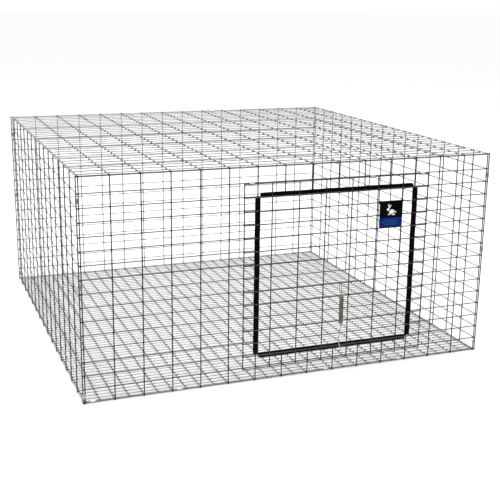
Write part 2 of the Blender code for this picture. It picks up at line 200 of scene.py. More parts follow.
# The mask darkens the coat toward its darkest colour: scorched zinc about welds and other marks, and painted
# shade along whole wires of some panels.
stain_and_shade = maths(zinc_coat, 'MULTIPLY', given.outputs['Weld'], spread(zinc_coat, speck, 0.3, 0.7, 0.8, 1.0))
colour = blend_colour(zinc_coat, stain_and_shade, colour, given.outputs['Burnt'])
grain = maths(zinc_coat, 'ADD', spread(zinc_coat, patch, 0.3, 0.7, 0.26, 0.44),
              spread(zinc_coat, stain_and_shade, 0.0, 1.0, 0.0, 0.22))
relief = maths(zinc_coat, 'ADD', speck, facet)
for label, socket in (("Colour", colour), ("Roughness", grain), ("Height", relief)):
    zinc_coat.links.new(socket, result.inputs[label])


def coated_material(name, group, values, strength, depth, shader_values):
    """A material whose shader takes its colour, roughness and relief from a node group, and the
    node of that group.  `values` are set on the group and `shader_values` on the shader."""
    material = bpy.data.materials.new(name)
    material.use_nodes = True
    tree = material.node_tree
    shader = tree.nodes["Principled BSDF"]
    coat = node(tree, 'ShaderNodeGroup', values, node_tree=group)
    bump = node(tree, 'ShaderNodeBump', {'Height': coat.outputs["Height"], 'Strength': strength,
                                         'Distance': depth})
    tree.links.new(coat.outputs["Colour"], shader.inputs["Base Color"])
    tree.links.new(coat.outputs["Roughness"], shader.inputs["Roughness"])
    tree.links.new(bump.outputs[0], shader.inputs["Normal"])
    for label, value in shader_values.items():
        shader.inputs[label].default_value = value
    return material, coat


def zinc_material(name, bright, dull, burnt_and_shaded, crystals):
    """Zinc-coated steel, darkened where the mesh attribute `weld` says so, scorched about welds and in
    painted shade along whole wires; `crystals` to the metre.
    """
    values = {"Bright": (*bright, 1), "Dull": (*dull, 1), "Burnt": (*burnt_and_shaded, 1), "Crystals": crystals}
    material, coat = coated_material(name, zinc_coat, values, 0.25, 0.0001, {"Metallic": 0.9})
    mask = node(material.node_tree, 'ShaderNodeAttribute', attribute_name="weld")
    material.node_tree.links.new(mask.outputs['Fac'], coat.inputs["Weld"])
    return material


# ------------------------------------------------------------------------------------------------
# Welded mesh of the six panels and the door.  Steel wires in two layers are resistance-welded where
# they cross, which sinks one a little into the other and squeezes out a flat bead.  The mesh is
# dipped in zinc and cut to size, so the cross wires end flush on an edge wire.
wire = 0.0020                            # walls, top and door
floor_wire = 0.0018
sink = 0.85                              # distance between the layers, in wire thicknesses
edge_room = 0.0008                       # between a panel's outer wires and the outside, for the clips
columns_wide = 15                        # spaces between the upright wires
row_pitch = 0.0238
rows_high = 15                           # full rows below the taller top one
burnt_and_shaded = (0.010, 0.009, 0.008)            # the coat about a weld, nearly black, and the painted shade of whole wires
crystals = 420.0                         # zinc crystals to the metre
wall_zinc = zinc_material("wall_zinc", (0.60, 0.605, 0.60), (0.40, 0.405, 0.40), burnt_and_shaded, crystals)
# The floor's zinc is a lighter copy of the walls': painted light, for how its wires catch the light.
floor_zinc = zinc_material("floor_zinc", (0.74, 0.745, 0.72), (0.54, 0.545, 0.52), burnt_and_shaded, crystals)


def carry(path, side, up, profile):
    """Closed shells: every path (shell, station, xyz) carries a closed outline.  Point k of the
    outline stands at path + profile[k, 0] * side + profile[k, 1] * up, where side x up points along
    the path, and one flat face closes each end."""
    shells, stations = path.shape[:2]
    corners = profile.shape[-2]
    side, up = (np.broadcast_to(v, path.shape)[:, :, None] for v in (side, up))
    points = path[:, :, None] + profile[..., 0:1] * side + profile[..., 1:2] * up
    k, j = np.meshgrid(np.arange(stations - 1), np.arange(corners), indexing="ij")
    after = (j + 1) % corners
    this, following = k * corners, (k + 1) * corners
    quads = np.stack((this + j, this + after, following + after, following + j), -1)
    first = np.arange(shells)[:, None, None] * stations * corners
    ends = np.stack((np.arange(corners)[::-1], np.arange(corners) + (stations - 1) * corners))
    walls = (quads.reshape(-1, 4) + first).reshape(-1, 4)
    caps = (ends + first).reshape(-1, corners)
    return points.reshape(-1, 3), walls.tolist() + caps.tolist()


def circle(sides):
    """An outline of `sides` points: (cos t, sin t) for t once round."""
    t = 2 * np.pi * np.arange(sides) / sides
    return np.stack((np.cos(t), np.sin(t)), -1)


def add_piece(name, shells, material, body, node_name):
    """One mesh object from a list of (points, faces, weld) shells, riding on a body (if any) in
    place of a CAD node.  The long sides are shaded smooth and the flat end faces stay flat."""
    starts = np.cumsum([0] + [len(points) for points, _, _ in shells[:-1]])
    faces = [[i + start for i in face] for (_, some, _), start in zip(shells, starts) for face in some]
    mesh = bpy.data.meshes.new(name)
    mesh.from_pydata(np.concatenate([points for points, _, _ in shells]), [], faces)
    mesh.polygons.foreach_set("use_smooth", [len(face) < 5 for face in faces])
    # The weld mask also holds the painted shade along whole wires of some panels.
    masks = [np.broadcast_to(weld, len(points)) for points, _, weld in shells]
    attribute = mesh.attributes.new("weld", 'FLOAT', 'POINT')
    attribute.data.foreach_set("value", np.concatenate(masks).astype(np.float32))
    mesh.materials.append(material)
    piece = bpy.data.objects.new(name, mesh)
    bpy.context.scene.collection.objects.link(piece)
    if body:
        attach(piece, body)
    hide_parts(node_name)
    return piece


def run_wires(stations, bows, span, cut, crossings, thick, layer, lean, fine, sides, shade, rng):
    """Wires of one layer, in the panel's own (across, along, out) frame: path, radius, weld mask.

    A wire at station s stands at s + bow * sin(pi * (a - low) / (high - low)) for a point a along the
    panel's whole span, and its layer dips by lean * exp(-(d / thick)^2) at distance d from a weld.
    Its radius swells by a twentieth at a weld and varies by a hundredth where the zinc ran.  The
    mask is exp(-(d / 1.5 thick)^2), the scorched zinc about a weld, and nowhere less than `shade`, a
    painted shade along the whole wire."""
    places = np.concatenate(([cut[0]], (crossings[:, None] + thick * fine).ravel(), [cut[1]]))
    along = np.unique(np.clip(places, *cut))
    near = np.exp(-(np.abs(along[:, None] - crossings).min(1) / thick) ** 2)
    along = np.tile(along, (len(stations), 1))
    along[:, 0] += rng.uniform(0, 0.2, len(stations)) * thick
    along[:, -1] -= rng.uniform(0, 0.2, len(stations)) * thick
    across = stations[:, None] + bows[:, None] * np.sin(np.pi * (along - span[0]) / (span[1] - span[0]))
    out = np.broadcast_to(layer + lean * near, along.shape)
    radius = thick / 2 * (1 + 0.05 * near) * (1 + rng.normal(0, 0.01, along.shape))
    nearest = crossings[np.abs(along[..., None] - crossings).argmin(-1)]
    burn = np.exp(-(np.abs(along - nearest) / (1.5 * thick)) ** 2)
    # Painted shade: the whole wire is darkened to at least `shade`, over the scorched zinc about welds.
    weld = np.repeat(np.maximum(burn, shade).ravel(), sides)
    return np.stack((across, along, out), -1), radius, weld


def beads(u, v, out, thick, size, around, rings):
    """Squeezed-out beads: spheroids at (u, v, out), `size` wires in radius in the panel and half a
    wire across it.  A sphere's latitude runs over `rings` rings between its two poles."""
    latitude = np.pi * (np.arange(rings) + 1) / (rings + 1) - np.pi / 2
    ring = circle(around)
    belt = np.concatenate([np.column_stack((ring * math.cos(a), np.full(around, math.sin(a))))
                           for a in latitude])
    ball = np.vstack((belt, (0, 0, -1), (0, 0, 1)))
    j = np.arange(around)
    after = (j + 1) % around
    last = (rings - 1) * around
    tris = np.vstack((np.stack((after, j, np.full(around, rings * around)), -1),
                      np.stack((j + last, after + last, np.full(around, rings * around + 1)), -1)))
    quads = [np.stack((j + r, after + r, after + r + around, j + r + around), -1)
             for r in range(0, last, around)]
    centres = np.stack((u.ravel(), v.ravel(), np.full(u.size, out)), -1)
    reach = thick * np.stack((size, size, np.full(u.size, 0.5)), -1)
    points = (centres[:, None] + reach[:, None] * ball).reshape(-1, 3)
    first = np.arange(len(centres))[:, None, None] * len(ball)
    faces = (tris + first).reshape(-1, 3).tolist()
    if quads:
        faces += (np.concatenate(quads) + first).reshape(-1, 4).tolist()
    return points, faces


def welded_panel(name, body, material, corner, across, up, uprights, levels, layers, thick, seed,
                 hole=None, fine=(-2.4, -1.2, -0.5, 0, 0.5, 1.2, 2.4), sides=10, bead=(0.9, 8, 3),
                 shade=(0.0, 0.0)):
    """A whole panel: uprights along `up` at `layers[0]`, levels along `across` at `layers[1]`, a
    bead at every crossing.  `corner` is the panel frame's origin, and out = across x up.  `fine`
    places a wire's stations about a weld and `bead` opens with a bead's radius, both in wires.
    `shade` is the least mask of the uprights and of the levels: a painted shade along whole wires."""
    usual_bow, most_bow = 0.0003, 0.0006
    border_bead = 0.9                    # the most on the border, so that it stays within the panel
    rng = np.random.default_rng(seed)
    basis = np.array((across, up, np.cross(across, up)), float)
    fine = np.array(fine)
    stub = 0.45 * thick                  # how far a wire ends past the middle of the one it ends on
    ends = ((uprights[0], uprights[-1]), (levels[0], levels[-1]))
    shells, bows = [], []
    for axis, stations, crossings, layer, other in ((0, uprights, levels, *layers),
                                                    (1, levels, uprights, *layers[::-1])):
        bow = rng.normal(0, usual_bow, len(stations)).clip(-most_bow, most_bow)
        bow[[0, -1]] = 0
        bows.append(bow)
        span = (ends[1 - axis][0] - stub, ends[1 - axis][1] + stub)
        runs = [(np.ones(len(stations), bool), span)]
        if hole:
            slack = 0.1 * thick
            inside = (stations > hole[axis][0] + slack) & (stations < hole[axis][1] - slack)
            runs = [(~inside, span), (inside, (span[0], hole[1 - axis][0] + stub)),
                    (inside, (hole[1 - axis][1] - stub, span[1]))]
        lean = 0.04 * thick * np.sign(other - layer)
        for chosen, cut in runs:
            met = crossings[(crossings > cut[0]) & (crossings < cut[1])]
            path, radius, weld = run_wires(stations[chosen], bow[chosen], span, cut, met, thick, layer, lean,
                                           fine, sides, shade[axis], rng)
            if axis:
                path = path[..., (1, 0, 2)]
            side, rise = (basis[2], basis[0]) if axis == 0 else (basis[1], basis[2])
            points, faces = carry(path @ basis + corner, side, rise, radius[..., None, None] * circle(sides))
            shells.append((points, faces, weld))
    u, v = np.meshgrid(uprights, levels, indexing="ij")
    bow_u = bows[0][:, None] * np.sin(np.pi * (v - ends[1][0]) / (ends[1][1] - ends[1][0]))
    bow_v = bows[1][None] * np.sin(np.pi * (u - ends[0][0]) / (ends[0][1] - ends[0][0]))
    kept = np.ones(u.shape, bool)
    if hole:
        (left, right), (foot, head) = hole
        kept = ~((u > left + thick) & (u < right - thick) & (v > foot + thick) & (v < head - thick))
    border = (u == uprights[0]) | (u == uprights[-1]) | (v == levels[0]) | (v == levels[-1])
    size = np.where(border, min(bead[0], border_bead), bead[0])[kept]
    points, faces = beads((u + bow_u)[kept], (v + bow_v)[kept], sum(layers) / 2, thick, size, *bead[1:])
    shells.append((points @ basis + corner, faces, 1.0))
    add_piece(name.replace("panel", "mesh"), shells, material, body, name)


low, high = np.array(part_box("front_panel"))
column = (high[0] - low[0] - wire) / columns_wide
edge = high[0] - wire / 2                                    # end wires of the front, either side
bottom, top = low[2] + wire / 2, high[2] - wire / 2          # lowest and highest wires of a wall
wall_columns = np.linspace(-edge, edge, columns_wide + 1)
wall_rows = np.append(bottom + row_pitch * np.arange(rows_high + 1), top)
outer, inner = -(edge_room + wire / 2), -(edge_room + wire / 2 + sink * wire)   # layers, from the outer face
doorway = ((wall_columns[6], wall_columns[12]), (wall_rows[2], wall_rows[14]))

# The shades are painted shade, a choice of look: the walls' uprights and the door's wires are drawn
# nearly black, and the left panel has a brighter coat of painted light and, like the right one, larger beads.
welded_panel("front_panel", "cage", wall_zinc, (0, low[1], 0), (1, 0, 0), (0, 0, 1),
             wall_columns, wall_rows, (outer, inner), wire, 11, doorway, shade=(0.96, 0.68))
back_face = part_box("back_panel")[1][1]
welded_panel("back_panel", "cage", wall_zinc, (0, back_face, 0), (-1, 0, 0), (0, 0, 1),
             wall_columns, wall_rows, (outer, inner), wire, 12, shade=(0.3, 0.4))
side_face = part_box("right_panel")[1][0]
# The left panel's zinc is a much lighter copy of the walls': a painted reflection of the bright light its
# rows catch.
bright_zinc = zinc_material("bright_zinc", (0.93, 0.94, 0.93), (0.80, 0.81, 0.80), burnt_and_shaded, crystals)
for name, sign, material, seed, row_shade in (("left_panel", -1, bright_zinc, 13, 0.0),
                                              ("right_panel", 1, wall_zinc, 14, 0.35)):
    welded_panel(name, "cage", material, (sign * side_face, 0, 0), (0, sign, 0), (0, 0, 1),
                 wall_columns, wall_rows, (outer, inner), wire, seed, bead=(1.25, 8, 3),
                 shade=(0.96, row_shade))

# The top's long wires lie above its cross wires; the closer floor has its long wires underneath, so
# feet stand on the cross wires.
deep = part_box("top_panel")[1][1] - wire / 2                  # end wires of the top and the floor
top_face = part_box("top_panel")[1][2]
floor_long = edge_room + floor_wire / 2
floor_cross = floor_long + sink * floor_wire
inch = 0.0254


def middle_out(end, pitch):
    """Wire places at a pitch about the middle, none within 0.4 of it of the two end wires."""
    count = int((end - 0.4 * pitch) / pitch)
    return np.concatenate(([-end], pitch * np.arange(-count, count + 1), [end]))


# The top's zinc is a lighter copy of the walls': painted light, for the light its wires catch from above; its
# cross wires take a painted shade.
top_zinc = zinc_material("top_zinc", (0.70, 0.71, 0.70), (0.50, 0.51, 0.50), burnt_and_shaded, crystals)
welded_panel("top_panel", "cage", top_zinc, (0, 0, top_face), (1, 0, 0), (0, 1, 0), wall_columns,
             middle_out(deep, inch), (outer, inner), wire, 15, shade=(0.0, 0.3))
welded_panel("floor_panel", "cage", floor_zinc, (0, 0, 0), (-1, 0, 0), (0, 1, 0),
             middle_out(edge, inch), middle_out(deep, inch / 2), (-floor_long, -floor_cross), floor_wire, 16,
             fine=(-1.6, 0, 1.6), sides=6, bead=(0.85, 6, 1))

# The door is the same mesh.  Its level wires are on the outside, and the top one is its hinge pin.
hinge = next(j for j in frame["joints"] if j["name"] == "door_hinge")["pos_m"]
door_low, door_high = np.array(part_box("door_panel"))
door_columns = np.arange(door_low[0] + wire / 2, door_high[0], column)
door_rows = np.arange(door_low[2] + wire / 2, door_high[2], row_pitch)
door_rows[-1] = hinge[2]
# The door's wires are drawn nearly black by painted shade.
welded_panel("door_panel", "door", wall_zinc, (0, hinge[1], 0), (1, 0, 0), (0, 0, 1),
             door_columns, door_rows, (-sink * wire, 0.0), wire, 17, shade=(0.96, 0.93))

# ------------------------------------------------------------------------------------------------
# Seam clips.  Thirty-seven J-clips join the panels: short zinc-coated steel strips, bent with
# pliers round the two edge wires of a seam until the tail laps over the start, inside the hutch.
clip_zinc = zinc_material("clip_zinc", (0.72, 0.73, 0.72), (0.45, 0.455, 0.45), (0.12, 0.115, 0.11), 600.0)
strip = 0.0006                           # sheet thickness
snug = 0.0001                            # between a wire and the strip round it
slip, skewed = 0.0004, 0.0007            # how far a clip may sit off its place, and its tail beside it


def bent_strip(first, second, seam, inward, width, inside, skew):
    """A strip bent round two wires as a racetrack: its middle keeps the distance inside + strip / 2
    from the line between the wires, starts on its inward side, and its tail lifts by one thickness
    to lap over the start.  Its outline is a rounded rectangle, narrower towards both ends, and
    `skew` is how far the tail lands beside the start.  The weld mask greys the two cut ends."""
    stations, corners = 40, 12
    first, second, seam = (np.array(v, float) for v in (first, second, seam))
    length = np.linalg.norm(second - first)
    ahead = (second - first) / length
    if np.dot(np.cross(seam, ahead), inward) < 0:
        seam = -seam
    inner_side = np.cross(seam, ahead)
    reach = inside + strip / 2
    place = np.array((0.8, 0.0, 0.0, 1.0, 1.0, 0.15)) * length      # along the line between the wires
    bend = np.radians((90, 90, 270, 270, 450, 450))                 # the strip's outward direction there
    run = np.concatenate(([0], np.cumsum(np.abs(np.diff(place)) + reach * np.diff(bend))))
    t = np.linspace(0, run[-1], stations)
    from_end = np.minimum(t, run[-1] - t)
    angle = np.interp(t, run, bend)[:, None]
    lift = np.interp(t, (run[4] - 1.2 * reach, run[4] + 0.1 * length), (0, 1))[:, None]
    normal = np.cos(angle) * ahead + np.sin(angle) * inner_side
    away = reach + 1.06 * strip * lift ** 2 * (3 - 2 * lift)
    path = (first + np.interp(t, run, place)[:, None] * ahead + away * normal
            + (t[:, None] / run[-1] - 0.5) * skew * seam)
    corner = 0.42 * strip                # radius of the outline's corners, three points to each
    quarter = np.arange(corners) // 3
    turn = np.radians(quarter * 90 + np.arange(corners) % 3 * 45)
    taper = 1 - 0.16 * np.clip(1 - from_end / (1.2 * strip), 0, 1) ** 2
    beside = (np.where((quarter == 0) | (quarter == 3), 1, -1) * (width / 2 * taper[:, None] - corner)
              + corner * np.cos(turn))
    off = np.where(quarter < 2, 1, -1) * (strip / 2 - corner) + corner * np.sin(turn)
    outline = np.stack((beside, np.broadcast_to(off, beside.shape)), -1)
    points, faces = carry(path[None], seam, normal, outline)
    return points, faces, np.repeat(np.clip(1 - from_end / strip, 0, 1), corners) * 0.5


rng = np.random.default_rng(21)
long_in, cross_in = top_face + outer, top_face + inner       # the top's two layers
wall_out, wall_in = back_face + outer, back_face + inner     # uprights and levels of front and back
side_out, side_in = side_face + outer, side_face + inner     # the same for the sides
seams = {}
for wall, sign in (("front", -1), ("back", 1)):
    seams[wall + "_floor"] = ((0, sign * wall_in, bottom), (0, sign * deep, floor_cross))
    seams[wall + "_top"] = ((0, sign * wall_in, top), (0, sign * deep, cross_in))
    for side, aside in (("left", -1), ("right", 1)):
        seams[f"{wall}_{side}"] = ((aside * edge, sign * wall_out, 0), (aside * side_out, sign * edge, 0))
for side, sign in (("left", -1), ("right", 1)):
    seams[side + "_floor"] = ((sign * side_in, 0, bottom), (sign * edge, 0, floor_long))
    seams[side + "_top"] = ((sign * side_in, 0, top), (sign * edge, 0, long_in))
for seam, wires in seams.items():
    along = np.all(np.array(wires) == 0, axis=0)
    for name in sorted(n for n in frame["nodes"] if n.startswith(seam + "_clip_")):
        clip_low, clip_high = np.array(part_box(name))
        middle = (clip_low + clip_high) / 2
        spot = along * (middle + rng.uniform(-slip, slip, 3))
        width = (along * (clip_high - clip_low)).sum()
        shell = bent_strip(*(np.array(w) + spot for w in wires), along.astype(float), hutch_middle - middle,
                           width, wire / 2 + snug, rng.uniform(-skewed, skewed))
        add_piece(name + "_strip", [shell], clip_zinc, "cage", name)

# Hinge clips.  Three more strips hold the door's top wire to the front's highest full row, bent
# loosely enough for the wire to turn in them.
for name in sorted(n for n in frame["nodes"] if n.startswith("hinge_clip_")):
    clip_low, clip_high = np.array(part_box(name))
    x = (clip_low[0] + clip_high[0]) / 2
    shell = bent_strip((x, -wall_in, hinge[2]), (x, hinge[1], hinge[2]), (1, 0, 0), (0, 0, -1),
                       clip_high[0] - clip_low[0], wire / 2 + 1.5 * snug, rng.uniform(-skewed, skewed))
    add_piece(name + "_strip", [shell], clip_zinc, "cage", name)

# ------------------------------------------------------------------------------------------------
# Doorway guards.  Four lengths of black PVC edging, extruded as a split tube, are pushed over the
# cut wire ends round the doorway.  The closed, rounded side faces the opening.
pvc_skin, given, result = new_group(
    "pvc_skin",
    [("Clean", 'NodeSocketColor', (0.01, 0.01, 0.01, 1)),
     ("Rubbed", 'NodeSocketColor', (0.05, 0.05, 0.05, 1)),
     ("Matt", 'NodeSocketFloat', 0.3), ("Dust", 'NodeSocketFloat', 0.3)],
    [("Colour", 'NodeSocketColor'), ("Roughness", 'NodeSocketFloat'), ("Height", 'NodeSocketFloat')])
place = node(pvc_skin, 'ShaderNodeTexCoord').outputs['Object']
haze = noise(pvc_skin, place, 45.0, 4.0)
pores = noise(pvc_skin, place, 2200.0, 2.0)
drawn = node(pvc_skin, 'ShaderNodeMapping', {0: place, 3: (1.0, 6.0, 1.0)}).outputs[0]
scratch = noise(pvc_skin, drawn, 300.0, 3.0, 0.7)
rub = maths(pvc_skin, 'MULTIPLY', spread(pvc_skin, haze, 0.48, 0.75, 0.0, 1.0),
            spread(pvc_skin, scratch, 0.45, 0.7, 0.0, 1.0))
rub = maths(pvc_skin, 'MULTIPLY', rub, given.outputs['Dust'])
colour = blend_colour(pvc_skin, rub, given.outputs['Clean'], given.outputs['Rubbed'])
hazy = maths(pvc_skin, 'ADD', given.outputs['Matt'], spread(pvc_skin, haze, 0.3, 0.7, 0.0, 0.14))
grain = maths(pvc_skin, 'ADD', hazy, rub)
relief = maths(pvc_skin, 'ADD', pores, scratch)
for label, socket in (("Colour", colour), ("Roughness", grain), ("Height", relief)):
    pvc_skin.links.new(socket, result.inputs[label])


def plastic(name, clean, rubbed, matt, dust, depth):
    """A plastic or painted material: a worn skin of the roughness `matt`, rubbed where it is dusty."""
    values = {"Clean": (*clean, 1), "Rubbed": (*rubbed, 1), "Matt": matt, "Dust": dust}
    return coated_material(name, pvc_skin, values, 0.3, depth, {"Specular IOR Level": 0.05})[0]


guard_black = plastic("guard_black", (0.002, 0.002, 0.0022), (0.016, 0.016, 0.017), 0.42, 0.3, 0.00008)
guard_out, guard_in = 0.0033, 0.0024     # outside and inside of the tube, from its middle plane
guard_plane = -0.3808                    # that plane, between the two layers of the front mesh


def guard_outline(tube_middle, lip):
    """Outline of a split tube in (outward, back): a half circle round `tube_middle` and two legs to
    `lip` that lean in by a twentieth, offset both ways from their middle line by a half wall that
    falls to nothing in a quarter circle at the two lips."""
    radius, half = (guard_out + guard_in) / 2, (guard_out - guard_in) / 2
    leg = lip - tube_middle
    ends = np.array((0, leg, leg + np.pi * radius, 2 * leg + np.pi * radius))
    lip_steps = half * (1 - np.cos(np.radians((0, 30, 60, 90))))
    leg_steps = np.linspace(half * 1.6, ends[1], 4)[:-1]
    t = np.concatenate((lip_steps, leg_steps, np.linspace(ends[1], ends[2], 13)))
    t = np.concatenate((t, (ends[3] - t)[::-1][1:]))
    t = np.unique(t.round(7))
    angle = np.radians(np.interp(t, (ends[1], ends[2]), (90, 270)))
    legs = np.maximum(np.maximum(ends[1] - t, t - ends[2]), 0)
    line = np.stack((tube_middle + legs + radius * np.cos(angle), (radius - 0.05 * legs) * np.sin(angle)), -1)
    normal = np.stack((np.cos(angle), np.sin(angle)), -1)
    inset = np.clip(1 - np.minimum(t, ends[3] - t) / half, 0, 1)
    wall = half * np.sqrt(1 - inset ** 2)[:, None]
    return np.concatenate((line + wall * normal, (line - wall * normal)[::-1][1:-1]))


doorway_middle = np.mean(doorway, axis=1)
back = np.array((0.0, 1.0, 0.0))
for name, seed in (("door_guard_left", 31), ("door_guard_right", 32), ("door_guard_bottom", 33),
                   ("door_guard_top", 34)):
    rng = np.random.default_rng(seed)
    guard_low, guard_high = np.array(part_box(name))
    middle = (guard_low + guard_high) / 2
    upright = guard_high[2] - guard_low[2] > guard_high[0] - guard_low[0]
    half_long = max(guard_high[2] - guard_low[2], guard_high[0] - guard_low[0]) / 2
    outward = np.sign(np.array((middle[0] - doorway_middle[0], 0, 0) if upright
                               else (0, 0, middle[2] - doorway_middle[1])))
    length = np.cross(outward, back)
    t = np.linspace(-1, 1, 49)
    wave = (0.00018 * np.sin(np.pi * (3.1 * t + rng.uniform(0, 2)))
            + 0.00012 * np.sin(np.pi * (7.3 * t + rng.uniform(0, 2))))
    path = (middle * (1, 0, 1) + guard_plane * back + np.outer(t * half_long, length)
            + np.outer(wave * (1 - t ** 4), outward))
    leg = (guard_high - guard_low)[0 if upright else 2] / 2
    outline = guard_outline(guard_out - leg, leg)
    pinch = np.clip((np.abs(t) - 0.996) / 0.004, 0, 1)       # where the cut pressed the ends together
    swell = 1 - 0.10 * pinch[:, None, None] * np.array((0.3, 1.0))
    points, faces = carry(path[None], outward, back, outline * swell)
    add_piece(name + "_edging", [(points, faces, 0.0)], guard_black, "cage", name)

# ------------------------------------------------------------------------------------------------
# Latch spring.  A close-wound coil of oiled spring wire hangs on a row of the door by a long loop
# of its own wire.  Pulling the hook opens the coil.
spring_steel = zinc_material("spring_steel", (0.36, 0.325, 0.29), (0.19, 0.165, 0.145),
                             (0.03, 0.022, 0.016), 900.0)
spring_wire = 0.0012
coil_radius = 0.0033                     # to the middle of the wire
drop = 0.0242                            # from the row to the coil's top
loop_half = 0.00285                      # half the width of the top loop, seen from the side
leg_aside, leg_before = 0.0009, 0.0036   # where the loop's front leg meets the coil, from the row
latch = np.array(next(j for j in frame["joints"] if j["name"] == "latch_swing")["pos_m"])
spring_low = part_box("latch_spring")[0]
coil_y = spring_low[1] + 0.00425         # its axis
coil_top, coil_end = latch[2] - drop, spring_low[2] + spring_wire / 2
turns = round((coil_top - coil_end) / (spring_wire * 1.02))
steps = 14                               # stations to a turn


def smooth_path(knots, spacing):
    """A Catmull-Rom curve through the knots, as points about `spacing` apart."""
    knots = np.array(knots, float)
    padded = np.vstack((2 * knots[0] - knots[1], knots, 2 * knots[-1] - knots[-2]))
    count = np.maximum(2, np.ceil(np.linalg.norm(np.diff(knots, axis=0), axis=1) / spacing).astype(int))
    where = np.concatenate([i + np.arange(n) / n for i, n in enumerate(count)] + [[len(knots) - 1.0]])
    i = np.minimum(where.astype(int), len(knots) - 2)
    f = (where - i)[:, None]
    a, b, c, d = padded[i], padded[i + 1], padded[i + 2], padded[i + 3]
    return 0.5 * (2 * b + (c - a) * f + (2 * a - 5 * b + 4 * c - d) * f ** 2
                  + (3 * b - a - 3 * c + d) * f ** 3)


def round_wire(path, radius, reference, sides):
    """A round wire along a path: tangent by central differences, and its side vector is the
    reference with the part along the tangent taken away."""
    tangent = np.gradient(path, axis=0)
    tangent /= np.linalg.norm(tangent, axis=1)[:, None]
    side = reference - (reference * tangent).sum(1)[:, None] * tangent
    side /= np.linalg.norm(side, axis=1)[:, None]
    return carry(path[None], side, np.cross(tangent, side), radius * circle(sides))


# Top loop: up the front leg, over the row, down behind it, and forward again above the coil.
around = np.radians(np.linspace(180, 0, 9))
crest = latch + np.column_stack((leg_aside * np.cos(around), loop_half * np.cos(around),
                                 loop_half * np.sin(around)))
tail = latch + np.array(((-0.0010, loop_half, -0.004), (-0.0012, 0.0024, -0.009),
                         (-0.0014, -0.0002, -0.0145), (-0.0014, -0.0042, -0.0195),
                         (-0.0010, -0.0064, -0.0222)))
front_leg = latch + np.array(((leg_aside, -leg_before, -0.0205), (0.0010, -0.0031, -0.015),
                              (0.0010, -loop_half, -0.006)))
back_legs = smooth_path(np.concatenate((tail[::-1], crest[::-1], front_leg[::-1])), 0.0006)
# Coil: radius * (sin a, cos a) round its axis, falling evenly; a starts at the front leg.
a = np.linspace(0, turns, turns * steps + 1) * 2 * np.pi
start = math.atan2(leg_aside, latch[1] - leg_before - coil_y)
radial = np.column_stack((np.sin(a + start), np.cos(a + start), np.zeros(len(a))))
helix = np.column_stack((latch[0] + coil_radius * radial[:, 0], coil_y + coil_radius * radial[:, 1],
                         np.interp(a, (0, a[-1]), (coil_top, coil_end))))
# Bottom eye: half a turn bent down under the coil, for the hook.
dip = np.radians(np.linspace(0, 200, 9))[1:]
last = a[-1] + start
outward = np.array((math.sin(last), math.cos(last), 0.0))
level = coil_radius * np.cos(dip * 0.9)
eye = (latch[0], coil_y, coil_end) + np.column_stack((level * outward[0], level * outward[1],
                                                      -0.8 * coil_radius * np.sin(dip * 0.9)))
path = np.vstack((back_legs, helix, eye))
reference = np.vstack((np.tile((1.0, 0, 0), (len(back_legs) - 1, 1)), radial[:1], radial,
                       np.tile(np.cross(outward, (0, 0, 1)), (len(eye), 1))))
sides = 8
shared = 15                              # stations over which the loop's side turns to the coil's
fade = np.linspace(0, 1, shared)[:, None]
reference[len(back_legs) - shared:len(back_legs)] = (1 - fade) * (1, 0, 0) + fade * radial[0]
points, faces = round_wire(path, spring_wire / 2, reference, sides)
# Weld mask: brown bands, a third strong and seven stations apart.
rust = np.repeat(0.35 * (0.5 + 0.5 * np.cos(np.arange(len(path)) * 0.9)) ** 2, sides)
coil = add_piece("latch_coil", [(points, faces, rust)], spring_steel, None, "latch_spring")
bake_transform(coil)

# ------------------------------------------------------------------------------------------------
# Latch hook.  One length of bright zinc-plated wire, bent by hand: its upper end is curled through
# the coil, a crook in the middle is for a finger, and its foot catches under the door and the front.
hook_zinc = zinc_material("hook_zinc", (0.72, 0.72, 0.70), (0.50, 0.50, 0.48), (0.22, 0.21, 0.19), 900.0)
hook_wire = 0.0016
hook_low, hook_high = np.array(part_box("latch_hook"))
foot_z = hook_low[2] + hook_wire / 2
nib_y = hook_high[1] - hook_wire / 2
x, fall = latch[0], coil_end - 0.004 - foot_z
# Curl: part of an ellipse through the coil's eye, each point a little beside the one before.
curl = [(x + 0.0002 * i, coil_y + 0.0019 * math.cos(t), coil_end - 0.0052 + 0.0024 * math.sin(t))
        for i, t in enumerate(np.radians(np.linspace(250, -60, 9)))]
# Shank: aside, down and forward, in shares of the crook's width, the fall and the lean before the coil.
shank = [(x - 0.004 * aside, coil_y - 0.0012 * lean, coil_end - 0.004 - fall * down)
         for aside, down, lean in ((0.25, 0.12, 0.6), (0.6, 0.24, 1), (0.97, 0.37, 1), (1.0, 0.43, 1),
                                   (0.5, 0.54, 0.8), (0.0, 0.64, 0.5), (-0.25, 0.74, 0.2), (-0.3, 0.84, 0))]
# Foot: back under the door and the front, then up behind the front's row.
foot = [(x - 0.0004, coil_y + 0.0002, foot_z + 0.004), (x, coil_y + 0.0006, foot_z + 0.0012),
        (x, coil_y + 0.0022, foot_z), (x, (coil_y + nib_y) / 2, foot_z), (x, nib_y - 0.0014, foot_z),
        (x, nib_y - 0.0002, foot_z + 0.0009), (x, nib_y, hook_low[2] + 0.0034),
        (x, nib_y, hook_low[2] + 0.0046)]
path = smooth_path(curl + shank + foot, 0.0007)
points, faces = round_wire(path, hook_wire / 2, np.tile((1.0, 0.35, 0.0), (len(path), 1)), 10)
add_piece("latch_pull_hook", [(points, faces, 0.0)], hook_zinc, "hook", "latch_hook")

